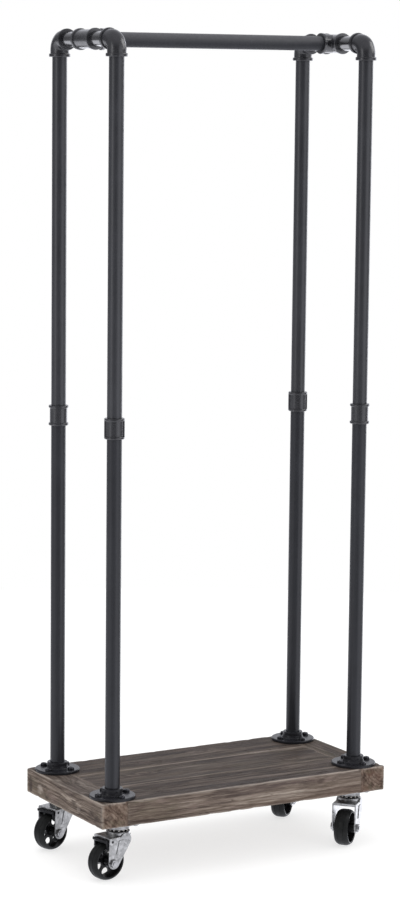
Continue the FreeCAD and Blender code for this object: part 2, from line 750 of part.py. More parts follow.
for label, (sx, sy, short) in CORNERS.items():
    # Top plate with the pressed-down upper race.
    body = new_body("caster_plate_" + label)
    sketch = new_sketch(body, "XY_Plane", plate_low)
    hx, hy = p.plate_x / 2, p.plate_y / 2
    draw_polygon(sketch, [(-hx, -hy), (hx, -hy), (hx, hy), (-hx, hy)])
    flat = pad(body, sketch, p.plate_t)
    flat = round_edges(
        body, flat, p.plate_round,
        lambda e: e.BoundBox.ZLength > 1 and e.BoundBox.XLength < 1e-6 and e.BoundBox.YLength < 1e-6,
    )
    sketch = new_sketch(body, "XY_Plane", plate_low)
    draw_circle(sketch, p.race_d / 2)
    race = pad(body, sketch, p.race_h, down=True)
    race = round_edges(body, race, 1.5, lambda e: is_circle(p.race_d / 2)(e) and abs(e.BoundBox.ZMax - race_low.number) < 1e-3)
    sketch = new_sketch(body, "XY_Plane", base_z)
    draw_circle(sketch, p.king_d / 2 + p.socket_slack)
    for kx in (-1, 1):
        for ky in (-1, 1):
            draw_circle(sketch, p.screw_d / 2 + 0.3, kx * p.plate_hole_x / 2, ky * p.plate_hole_y / 2)
    drilled = pocket(body, sketch, p.plate_t + p.race_h + 1)
    must_lose(body, race, drilled)
    sink = body.newObject("PartDesign::SubtractiveCone", "Sink")
    bind(sink, "Radius1", p.king_d / 2 + p.socket_slack)
    bind(sink, "Radius2", p.king_top_d / 2 + p.socket_slack)
    bind(sink, "Height", p.king_top_h)
    bind(sink, "Placement.Base.z", base_z - p.king_top_h)
    groove = body.newObject("PartDesign::SubtractiveTorus", "BallGroove")
    bind(groove, "Radius1", p.ball_pitch_r)
    bind(groove, "Radius2", groove_r)
    bind(groove, "Placement.Base.z", ball_z)
    body.Tip = groove
    must_lose(body, drilled, groove)
    put(body, sx * p.kingpin_x, sy * p.kingpin_y, 0)
    node(body, "caster_plate_" + label)

    # Swivel fork of pressed sheet: crown, two tapering legs, rear lip.
    body = new_body("caster_fork_" + label)
    braked = sx < 0
    rear = p.fork_rear
    sketch = new_sketch(body, "XY_Plane", crown_low)
    draw_circle(sketch, half_fork)
    crown = pad(body, sketch, p.crown_t)
    sketch = new_sketch(body, "XY_Plane", crown_low)
    draw_polygon(sketch, [(0, -half_fork), (rear, -half_fork), (rear, half_fork), (0, half_fork)])
    crown = pad(body, sketch, p.crown_t)
    # The crown's outer edge is rolled.
    rolled = round_edges(
        body, crown, p.crown_round,
        lambda e: abs(e.BoundBox.ZMin - crown_top.number) < 1e-3
        and e.BoundBox.XLength > 5,
    )
    # The lower race is pressed up from the crown.
    sketch = new_sketch(body, "XY_Plane", crown_low + 1)
    draw_circle(sketch, p.dome_d / 2)
    dome = pad(body, sketch, dome_top - crown_low - 1)
    dome = round_edges(body, dome, p.dome_round, lambda e: is_circle(p.dome_d / 2)(e) and abs(e.BoundBox.ZMin - dome_top.number) < 1e-3)
    leg_top = crown_low + 0.5
    # Each leg runs from a round shoulder under the crown to a round foot at the axle.
    du, dz = p.foot_u - p.shoulder_u, p.foot_z - p.shoulder_z
    span = root(du * du + dz * dz)
    nu, nz = dz / span * p.leg_r, -(du / span * p.leg_r)
    sketch = new_sketch(body, "XZ_Plane")
    draw_polygon(
        sketch,
        [
            (rear, leg_top),
            (p.shoulder_u, leg_top),
            (p.shoulder_u, p.shoulder_z),
            (p.shoulder_u + nu, p.shoulder_z + nz),
            (p.foot_u + nu, p.foot_z + nz),
            (p.foot_u, p.foot_z),
            (p.foot_u + p.leg_r, p.foot_z),
        ],
    )
    legs = pad(body, sketch, p.fork_w, both_ways=True)
    for round_u, round_z in ((p.foot_u, p.foot_z), (p.shoulder_u, p.shoulder_z)):
        sketch = new_sketch(body, "XZ_Plane")
        draw_circle(sketch, p.leg_r, round_u, round_z)
        legs = pad(body, sketch, p.fork_w, both_ways=True)
    sketch = new_sketch(body, "XZ_Plane")
    draw_polygon(sketch, [(4, 74), (14.5, 74), (20.5, 50), (15.5, 50)])
    ribbed = pad(body, sketch, p.fork_w + 2 * p.rib_proud, both_ways=True)
    sketch = new_sketch(body, "XZ_Plane")
    draw_polygon(
        sketch,
        [
            (-80, -5),
            (80, -5),
            (80, crown_top - p.lip_h),
            (rear - p.lip_t, crown_top - p.lip_h),
            (rear - p.lip_t, crown_low),
            (-80, crown_low),
        ],
    )
    channel = pocket(body, sketch, 2 * half_gap, both_ways=True)
    must_lose(body, ribbed, channel)
    sketch = new_sketch(body, "XZ_Plane")
    draw_circle(sketch, p.axle_d / 2 + 0.1, p.trail, axle_z)
    if braked:
        draw_circle(sketch, p.pivot_d / 2 + p.pivot_slack, p.pivot_u, p.pivot_z)
    axle_hole = pocket(body, sketch, 2 * p.fork_w, both_ways=True)
    must_lose(body, channel, axle_hole)
    sketch = new_sketch(body, "XY_Plane", dome_low)
    draw_circle(sketch, p.dome_d / 2 - p.dome_t)
    hollow = pocket(body, sketch, dome_low - crown_low + 1)
    must_lose(body, axle_hole, hollow)
    sketch = new_sketch(body, "XY_Plane", dome_top)
    draw_circle(sketch, p.king_d / 2 + p.pivot_slack)
    king_hole = pocket(body, sketch, p.dome_t + 1)
    must_lose(body, hollow, king_hole)
    groove = body.newObject("PartDesign::SubtractiveTorus", "BallGroove")
    bind(groove, "Radius1", p.ball_pitch_r)
    bind(groove, "Radius2", groove_r)
    bind(groove, "Placement.Base.z", ball_z)
    body.Tip = groove
    must_lose(body, king_hole, groove)
    turn = per_corner("swivel", short)
    home = (sx * p.kingpin_x, sy * p.kingpin_y, 0, turn)
    put_turned(body, *home)
    node(body, "caster_fork_" + label)

    # Axle bolt, head on one leg and nut on the other.
    low_v = -half_fork - 0.05
    high_v = half_fork + 0.05
    bolt = fuse(
        cylinder(p.axle_d / 2, p.fork_w + p.nut_h + p.bolt_proud + 0.1, p.trail, low_v, axle_z, ALONG_Y),
        hexagon(p.hex_d, p.bolt_head_h, p.trail, low_v - p.bolt_head_h, axle_z, ALONG_Y),
    )
    nut = cut(
        hexagon(p.hex_d, p.nut_h, p.trail, high_v, axle_z, ALONG_Y),
        cylinder(p.axle_d / 2 + p.axle_slack, p.nut_h + 2, p.trail, high_v - 1, axle_z, ALONG_Y),
    )
    both = group([bolt, nut])
    put_turned(both, *home)
    node(both, "axle_bolt_" + label)

    # Tyre with rounded shoulders and two tread grooves.
    wheel_r = p.wheel_d / 2
    rim_r = wheel_r - p.tyre_t - p.socket_slack
    ring = soften(cylinder(wheel_r, p.tyre_w, p.trail, -p.tyre_w / 2, axle_z, ALONG_Y), p.tyre_round, is_circle(wheel_r))
    tyre = cut(
        ring,
        cylinder(wheel_r - p.tyre_t, p.tyre_w + 2, p.trail, -p.tyre_w / 2 - 1, axle_z, ALONG_Y),
        torus(wheel_r + 0.2, p.tread_groove_r, p.trail, -p.tread_groove_v, axle_z, ALONG_Y),
        torus(wheel_r + 0.2, p.tread_groove_r, p.trail, p.tread_groove_v, axle_z, ALONG_Y),
    )
    put_turned(tyre, *home)
    node(tyre, "tyre_" + label)

    # Wheel centre: hub, pierced web and rim.
    rim = cut(
        cylinder(rim_r, p.rim_w, p.trail, -p.rim_w / 2, axle_z, ALONG_Y),
        cylinder(rim_r - p.rim_t, p.rim_w + 2, p.trail, -p.rim_w / 2 - 1, axle_z, ALONG_Y),
    )
    disc = cylinder(rim_r - p.rim_t / 2, p.web_t, p.trail, -p.web_t / 2, axle_z, ALONG_Y)
    hub = soften(cylinder(p.hub_d / 2, p.hub_w, p.trail, -p.hub_w / 2, axle_z, ALONG_Y), 1.0, is_circle(p.hub_d / 2))
    holes = []
    for k in range(6):
        a = per_corner("spin", short) + 60 * k
        holes.append(
            cylinder(
                p.web_hole_d / 2,
                p.web_t + 4,
                p.trail + p.web_hole_r * cosd(a),
                -p.web_t / 2 - 2,
                axle_z + p.web_hole_r * sind(a),
                ALONG_Y,
            )
        )
    bore = cylinder(p.axle_d / 2 + p.axle_slack, p.hub_w + 2, p.trail, -p.hub_w / 2 - 1, axle_z, ALONG_Y)
    centre = cut(fuse(rim, disc, hub), group(holes + [bore]))
    put_turned(centre, *home)
    node(centre, "wheel_centre_" + label)

    if braked:
        # Brake pedal: lever, cheeks beside the tyre and moulded trunnions.
        body = new_body("brake_pedal_" + label)
        sketch = new_sketch(body, "XZ_Plane")
        u, z = p.pivot_u, p.pivot_z
        draw_polygon(
            sketch,
            [
                (u - 6, z - 1.6),
                (u - 6, z + 1.5),
                (u + 7.8, z + 2),
                (u + 10.4, z + 2.2),
                (u + 11.2, z + 3.6),
                (u + 13, z + 3.2),
                (u + 13.4, z - 0.6),
                (u + 10.6, z - 3),
                (u + 6, z - 3.2),
                (u - 1, z - 3.2),
            ],
        )
        lever = pad(body, sketch, p.pedal_w, both_ways=True)
        lever = round_edges(
            body, lever, 0.6,
            lambda e: e.BoundBox.YLength > 20 and e.BoundBox.XMin > u.number + 11,
        )
        sketch = new_sketch(body, "XZ_Plane")
        draw_polygon(
            sketch,
            [
                (u - 1, z - 2),
                (u + 10, z - 2),
                (u + 9.4, z - 13.5),
                (u + 7.4, z - 15.5),
                (u + 4.2, z - 15.5),
                (u - 1, z - 8),
            ],
        )
        cheeks = pad(body, sketch, p.pedal_w, both_ways=True)
        sketch = new_sketch(body, "XZ_Plane")
        draw_polygon(
            sketch,
            [
                (u - 12, z - 3.2),
                (u + 6, z - 3.2),
                (u + 10.6, z - 3),
                (u + 20, z - 2.59),
                (u + 20, z - 30),
                (u - 12, z - 30),
            ],
        )
        between = pocket(body, sketch, p.pedal_w - 2 * p.cheek_t, both_ways=True)
        sketch = new_sketch(body, "XZ_Plane")
        draw_circle(sketch, p.pivot_d / 2, u, z)
        pins = pad(body, sketch, p.fork_w, both_ways=True)
        put_turned(body, *home)
        node(body, "brake_pedal_" + label)

doc.recompute()

# ---- check and write ------------------------------------------------------

for obj in doc.Objects:
    if "Invalid" in obj.State or "Error" in obj.State:
        raise RuntimeError("%s (%s) failed: %s" % (obj.Name, obj.Label, obj.State))
labels = [label for obj, label in NODES]
if len(set(labels)) != len(labels) or len(labels) > 60:
    raise RuntimeError("node names are repeated or too many: %d" % len(labels))
for obj, label in NODES:
    shape = obj.Shape
    if shape.isNull() or not shape.isValid() or not shape.Solids:
        raise RuntimeError("bad shape: " + label)

os.makedirs("parts", exist_ok=True)
for obj, label in NODES:
    shape = obj.Shape
    shape.exportStep("parts/%s.step" % label)
    bb = shape.BoundBox
    print(
        "%-28s solids %2d  volume %10.1f  x %7.1f..%7.1f  y %7.1f..%7.1f  z %7.1f..%7.1f"
        % (label, len(shape.Solids), shape.Volume, bb.XMin, bb.XMax, bb.YMin, bb.YMax, bb.ZMin, bb.ZMax)
    )
print(len(NODES), "nodes")
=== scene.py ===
import json
import math

import bpy
import numpy as np
from mathutils import Matrix, Vector


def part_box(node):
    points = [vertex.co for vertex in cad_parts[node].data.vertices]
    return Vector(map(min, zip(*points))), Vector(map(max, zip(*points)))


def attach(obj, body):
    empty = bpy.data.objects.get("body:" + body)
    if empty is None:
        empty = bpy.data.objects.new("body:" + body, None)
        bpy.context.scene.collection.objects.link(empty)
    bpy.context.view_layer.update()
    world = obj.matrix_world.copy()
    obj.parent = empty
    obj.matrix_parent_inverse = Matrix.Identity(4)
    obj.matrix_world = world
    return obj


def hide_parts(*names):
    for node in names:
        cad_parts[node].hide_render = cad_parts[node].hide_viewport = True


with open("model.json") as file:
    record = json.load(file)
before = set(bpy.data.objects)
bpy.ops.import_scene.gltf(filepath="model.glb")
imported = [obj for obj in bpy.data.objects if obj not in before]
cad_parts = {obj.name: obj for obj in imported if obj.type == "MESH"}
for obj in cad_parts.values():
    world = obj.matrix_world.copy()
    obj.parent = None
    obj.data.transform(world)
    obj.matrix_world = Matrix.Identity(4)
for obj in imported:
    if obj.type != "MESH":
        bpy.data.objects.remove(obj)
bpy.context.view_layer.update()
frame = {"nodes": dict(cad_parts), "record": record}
nodes = frame["nodes"]
scene = bpy.context.scene

# ---------------------------------------------------------------- seeded noise


def _hash(i, j, k, seed):
    h = (
        i.astype(np.uint32) * np.uint32(374761393)
        + j.astype(np.uint32) * np.uint32(668265263)
        + k.astype(np.uint32) * np.uint32(2246822519)
        + np.uint32((seed * 3266489917) % 4294967296)
    )
    h = (h ^ (h >> np.uint32(13))) * np.uint32(1274126177)
    h = (h ^ (h >> np.uint32(16))) * np.uint32(2654435761)
    return ((h ^ (h >> np.uint32(15))) & np.uint32(0xFFFFFF)).astype(float) / 16777215.0


def noise3(p, seed=0):
    """Smooth value noise from 0 to 1 at points p (N, 3), one cell per unit."""
    f = np.floor(p)
    i, j, k = (f[:, n].astype(np.int64) & 0xFFFFFFFF for n in range(3))
    t = p - f
    t = t * t * t * (t * (t * 6 - 15) + 10)
    out = np.zeros(len(p))
    for a in (0, 1):
        for b in (0, 1):
            for c in (0, 1):
                w = (
                    (t[:, 0] if a else 1 - t[:, 0])
                    * (t[:, 1] if b else 1 - t[:, 1])
                    * (t[:, 2] if c else 1 - t[:, 2])
                )
                out += w * _hash(i + a, j + b, k + c, seed)
    return out


def fbm(p, octaves=4, seed=0, gain=0.5):
    total, weight, amp = np.zeros(len(p)), 0.0, 1.0
    for o in range(octaves):
        total += amp * noise3(p * 2.0**o + 17.3 * o, seed + 31 * o)
        weight += amp
        amp *= gain
    return total / weight


def smooth(lo, hi, x):
    t = np.clip((x - lo) / (hi - lo), 0, 1)
    return t * t * (3 - 2 * t)


# ------------------------------------------------------------- material helper


def lin(r, g, b):
    """An sRGB colour in 0-255 as linear RGBA."""

    def one(c):
        c /= 255.0
        return c / 12.92 if c <= 0.04045 else ((c + 0.055) / 1.055) ** 2.4

    return (one(r), one(g), one(b), 1.0)


class Mat:
    """A Principled material and short calls to add nodes to it."""

    def __init__(self, name, **sockets):
        self.m = bpy.data.materials.new(name)
        self.m.use_nodes = True
        self.t = self.m.node_tree
        self.t.nodes.clear()
        self.out = self.node("ShaderNodeOutputMaterial")
        self.b = self.node("ShaderNodeBsdfPrincipled")
        self.link(self.b.outputs[0], self.out.inputs["Surface"])
        for key, value in sockets.items():
            self.b.inputs[key.replace("_", " ")].default_value = value
        coord = self.node("ShaderNodeTexCoord")
        self.p = coord.outputs["Object"]

    def node(self, kind, **props):
        n = self.t.nodes.new(kind)
        for key, value in props.items():
            setattr(n, key, value)
        return n

    def link(self, a, b):
        self.t.links.new(a, b)

    def feed(self, socket, value):
        if isinstance(value, bpy.types.NodeSocket):
            self.link(value, socket)
        else:
            socket.default_value = value

    def scaled(self, scale, source=None):
        n = self.node("ShaderNodeMapping")
        self.link(source or self.p, n.inputs["Vector"])
        n.inputs["Scale"].default_value = scale
        return n.outputs[0]

    def noise(self, scale, detail=3.0, rough=0.55, source=None, distortion=0.0):
        n = self.node("ShaderNodeTexNoise")
        self.link(source or self.p, n.inputs["Vector"])
        n.inputs["Scale"].default_value = scale
        n.inputs["Detail"].default_value = detail
        n.inputs["Roughness"].default_value = rough
        n.inputs["Distortion"].default_value = distortion
        return n.outputs["Fac"]

    def voronoi(self, scale, feature="F1", source=None, out="Distance"):
        n = self.node("ShaderNodeTexVoronoi", feature=feature)
        self.link(source or self.p, n.inputs["Vector"])
        n.inputs["Scale"].default_value = scale
        return n.outputs[out]

    def attr(self, name):
        n = self.node("ShaderNodeAttribute", attribute_name=name)
        return n.outputs["Fac"]

    def math(self, op, a, b=0.5, clamp=False):
        n = self.node("ShaderNodeMath", operation=op, use_clamp=clamp)
        self.feed(n.inputs[0], a)
        self.feed(n.inputs[1], b)
        return n.outputs[0]

    def remap(self, x, a, b, c=0.0, d=1.0, smooth=False):
        n = self.node("ShaderNodeMapRange", interpolation_type="SMOOTHSTEP" if smooth else "LINEAR")
        self.feed(n.inputs["Value"], x)
        for key, value in (("From Min", a), ("From Max", b), ("To Min", c), ("To Max", d)):
            n.inputs[key].default_value = value
        return n.outputs[0]

    def ramp(self, x, *stops):
        n = self.node("ShaderNodeValToRGB")
        self.feed(n.inputs[0], x)
        e = n.color_ramp.elements
        while len(e) < len(stops):
            e.new(0.5)
        for element, (at, colour) in zip(e, stops):
            element.position = at
            element.color = colour
        return n.outputs[0]

    def mix(self, f, a, b, blend="MIX"):
        n = self.node("ShaderNodeMix", data_type="RGBA", blend_type=blend)
        self.feed(n.inputs[0], f)
        self.feed(n.inputs[6], a)
        self.feed(n.inputs[7], b)
        return n.outputs[2]

    def edges(self, radius, lo, hi):
        """1 on sharp edges, 0 on flat faces."""
        bevel = self.node("ShaderNodeBevel", samples=6)
        bevel.inputs["Radius"].default_value = radius
        geo = self.node("ShaderNodeNewGeometry")
        dot = self.node("ShaderNodeVectorMath", operation="DOT_PRODUCT")
        self.link(bevel.outputs[0], dot.inputs[0])
        self.link(geo.outputs["Normal"], dot.inputs[1])
        return self.remap(self.math("SUBTRACT", 1.0, dot.outputs["Value"]), lo, hi, smooth=True)

    def color(self, x):
        self.link(x, self.b.inputs["Base Color"])

    def rough(self, x):
        self.link(x, self.b.inputs["Roughness"])

    def soft_edges(self, radius):
        """Normals rounded over the sharp edges, to go under a bump."""
        n = self.node("ShaderNodeBevel", samples=6)
        n.inputs["Radius"].default_value = radius
        return n.outputs[0]

    def bump(self, height, distance, strength=1.0, under=None):
        n = self.node("ShaderNodeBump")
        n.inputs["Strength"].default_value = strength
        n.inputs["Distance"].default_value = distance
        self.link(height, n.inputs["Height"])
        if under is not None:
            self.link(under, n.inputs["Normal"])
        self.link(n.outputs[0], self.b.inputs["Normal"])
        return n.outputs[0]


# ------------------------------------------------------------------- materials


def pipe_paint(name, ior, coat, dull, top_sheen):
    m = Mat(name, IOR=ior)
    m.b.inputs["Coat Weight"].default_value = coat
    m.b.inputs["Coat Roughness"].default_value = 0.25
    blotch = m.noise(14, 4, 0.6)
    drawn = m.noise(60, 3, 0.5, source=m.scaled((6, 6, 0.12)))
    speck = m.noise(900, 2, 0.6)
    tone = m.math("ADD", m.math("MULTIPLY", blotch, 0.55), m.math("MULTIPLY", drawn, 0.45))
    base = m.ramp(tone, (0.30, lin(29, 30, 34)), (0.52, lin(35, 36, 41)), (0.72, lin(43, 44, 49)))
    dust = m.remap(m.noise(220, 4, 0.7), 0.58, 0.80, 0, 0.22)
    base = m.mix(dust, base, lin(60, 61, 65))
    # painted sheen: faces that look up are made lighter, in patches, standing in for overhead light
    axes = m.node("ShaderNodeSeparateXYZ")
    m.link(m.node("ShaderNodeNewGeometry").outputs["Normal"], axes.inputs[0])
    painted_top_sheen = m.remap(axes.outputs["Z"], top_sheen[0], top_sheen[1], 0.0, top_sheen[2])
    painted_top_sheen = m.math("MULTIPLY", painted_top_sheen, m.remap(m.noise(120, 4, 0.65), 0.3, 0.7, 0.75, 1.0))
    m.color(m.mix(painted_top_sheen, base, lin(98, 98, 102)))
    m.rough(m.remap(m.math("ADD", m.math("MULTIPLY", blotch, 0.6), m.math("MULTIPLY", speck, 0.4)), 0.3, 0.7, 0.30 + dull, 0.44 + dull))
    peel = m.noise(520, 2, 0.5)
    under = m.bump(drawn, 0.0004, 0.25)
    m.bump(peel, 0.00010, 0.8, under)
    return m.m


def cast_paint(name, ior, coat):
    m = Mat(name, IOR=ior)
    m.b.inputs["Coat Weight"].default_value = coat
    m.b.inputs["Coat Roughness"].default_value = 0.17
    blotch = m.noise(30, 4, 0.6)
    grit = m.noise(420, 4, 0.65)
    pits = m.voronoi(700, "SMOOTH_F1")
    base = m.ramp(blotch, (0.30, lin(26, 26, 30)), (0.55, lin(33, 33, 37)), (0.75, lin(43, 43, 47)))
    # lighter edges: worn paint, and painted highlights on the band edges
    wear = m.math("MULTIPLY", m.edges(0.0011, 0.02, 0.22), m.remap(m.noise(160, 3, 0.6), 0.42, 0.66))
    m.color(m.mix(m.math("MULTIPLY", wear, 0.3), base, lin(92, 92, 96)))
    m.rough(m.remap(m.math("ADD", m.math("MULTIPLY", grit, 0.6), m.math("MULTIPLY", blotch, 0.4)), 0.3, 0.7, 0.22, 0.36))
    under = m.bump(grit, 0.0005, 0.35, m.soft_edges(0.0012))
    m.bump(pits, 0.0002, 0.25, under)
    return m.m


def nipple_paint():
    m = Mat("nipple_paint", IOR=2.8)
    m.b.inputs["Coat Weight"].default_value = 0.3
    m.b.inputs["Coat Roughness"].default_value = 0.08
    blotch = m.noise(40, 4, 0.6)
    fine = m.noise(600, 3, 0.6)
    base = m.ramp(blotch, (0.30, lin(18, 18, 21)), (0.55, lin(25, 25, 28)), (0.75, lin(36, 36, 40)))
    m.color(base)
    m.rough(m.remap(m.math("ADD", m.math("MULTIPLY", fine, 0.5), m.math("MULTIPLY", blotch, 0.5)), 0.3, 0.7, 0.10, 0.26))
    m.bump(fine, 0.0001, 0.5)
    return m.m


def zinc_sheet():
    m = Mat("zinc_sheet", Metallic=1.0)
    cloud = m.noise(55, 4, 0.6)
    spangle = m.voronoi(190, "F1", out="Color")
    bw = m.node("ShaderNodeRGBToBW")
    m.link(spangle, bw.inputs[0])
    draw = m.noise(240, 3, 0.6, source=m.scaled((1.0, 1.0, 7.0)))
    tone = m.math("ADD", m.math("MULTIPLY", cloud, 0.7), m.math("MULTIPLY", bw.outputs[0], 0.3))
    base = m.ramp(tone, (0.25, lin(104, 104, 103)), (0.5, lin(147, 147, 146)), (0.75, lin(184, 184, 183)))
    spots = m.remap(m.noise(330, 4, 0.7), 0.60, 0.74, 0, 0.5)
    # painted shade: ambient occlusion darkens creases, recesses and the inner faces between the fork legs
    ao_shade = m.node("ShaderNodeAmbientOcclusion", samples=6)
    ao_shade.inputs["Distance"].default_value = 0.0025
    painted_crevice_shade = m.remap(ao_shade.outputs["AO"], 0.25, 0.85, 0.55, 0.0)
    worn = m.mix(spots, base, lin(128, 128, 130))
    m.color(m.mix(painted_crevice_shade, worn, lin(70, 70, 72)))
    m.rough(m.remap(m.math("ADD", m.math("MULTIPLY", cloud, 0.5), m.math("MULTIPLY", draw, 0.5)), 0.3, 0.7, 0.24, 0.42))
    m.bump(draw, 0.00006, 0.7)
    return m.m


def zinc_steel():
    m = Mat("zinc_steel", Metallic=1.0)
    cloud = m.noise(120, 4, 0.6)
    turned = m.noise(1600, 2, 0.5)
    base = m.ramp(cloud, (0.3, lin(118, 118, 118)), (0.7, lin(172, 172, 172)))
    wear = m.edges(0.0006, 0.03, 0.25)
    m.color(m.mix(m.math("MULTIPLY", wear, 0.4), base, lin(206, 206, 206)))
    m.rough(m.remap(cloud, 0.3, 0.7, 0.22, 0.42))
    m.bump(turned, 0.00005, 0.6)
    return m.m


def screw_black():
    m = Mat("screw_black", Metallic=0.8)
    cloud = m.noise(260, 4, 0.6)
    base = m.ramp(cloud, (0.3, lin(34, 34, 37)), (0.7, lin(66, 66, 70)))
    wear = m.edges(0.0005, 0.03, 0.25)
    m.color(m.mix(m.math("MULTIPLY", wear, 0.6), base, lin(150, 150, 154)))
    m.rough(m.remap(cloud, 0.3, 0.7, 0.22, 0.42))
    m.bump(m.noise(1500, 2, 0.5), 0.00005, 0.6)
    return m.m


def ball_steel():
    m = Mat("ball_steel", Metallic=1.0)
    smear = m.noise(300, 3, 0.6)
    m.color(m.ramp(smear, (0.35, lin(150, 140, 120)), (0.6, lin(205, 206, 208))))
    m.rough(m.remap(smear, 0.3, 0.7, 0.08, 0.3))
    return m.m


def tyre_rubber():
    m = Mat("tyre_rubber", IOR=1.42)
    m.b.inputs["Specular IOR Level"].default_value = 0.2
    dust = m.noise(90, 4, 0.65)
    fine = m.noise(1400, 3, 0.6)
    base = m.ramp(dust, (0.30, lin(18, 19, 19)), (0.55, lin(26, 27, 27)), (0.78, lin(44, 44, 43)))
    m.color(base)
    m.rough(m.remap(dust, 0.3, 0.7, 0.42, 0.62))
    m.bump(fine, 0.0001, 0.7)
    return m.m


def wheel_plastic():
    m = Mat("wheel_plastic", IOR=1.34)
    m.b.inputs["Specular IOR Level"].default_value = 0.4
    cloud = m.noise(60, 3, 0.6)
    fine = m.noise(900, 2, 0.5)
    base = m.ramp(cloud, (0.3, lin(13, 13, 14)), (0.7, lin(24, 24, 26)))
    scuff = m.remap(m.noise(260, 5, 0.75), 0.60, 0.78, 0, 0.35)
    m.color(m.mix(scuff, base, lin(52, 52, 54)))
    m.rough(m.remap(m.math("ADD", m.math("MULTIPLY", cloud, 0.5), m.math("MULTIPLY", scuff, 0.9)), 0.15, 0.8, 0.34, 0.56))
    m.bump(fine, 0.00005, 0.6)
    return m.m


def pedal_plastic():
    m = Mat("pedal_plastic", IOR=1.3)
    cloud = m.noise(90, 3, 0.6)
    grain = m.voronoi(1300, "SMOOTH_F1")
    base = m.ramp(cloud, (0.3, lin(12, 12, 15)), (0.7, lin(23, 23, 26)))
    wear = m.math("MULTIPLY", m.edges(0.0012, 0.02, 0.25), m.remap(m.noise(300, 3, 0.6), 0.4, 0.6))
    m.color(m.mix(m.math("MULTIPLY", wear, 0.4), base, lin(64, 64, 67)))
    m.rough(m.remap(cloud, 0.3, 0.7, 0.30, 0.46))
    m.bump(grain, 0.00012, 0.6)
    return m.m


def dowel_wood():
    m = Mat("dowel_wood", IOR=1.45)
    fibre = m.noise(500, 4, 0.6, source=m.scaled((0.05, 1, 1)))
    m.color(m.ramp(fibre, (0.3, lin(176, 140, 96)), (0.7, lin(205, 172, 126))))
    m.rough(m.remap(fibre, 0.3, 0.7, 0.5, 0.7))
    m.bump(fibre, 0.0001, 0.6)
    return m.m


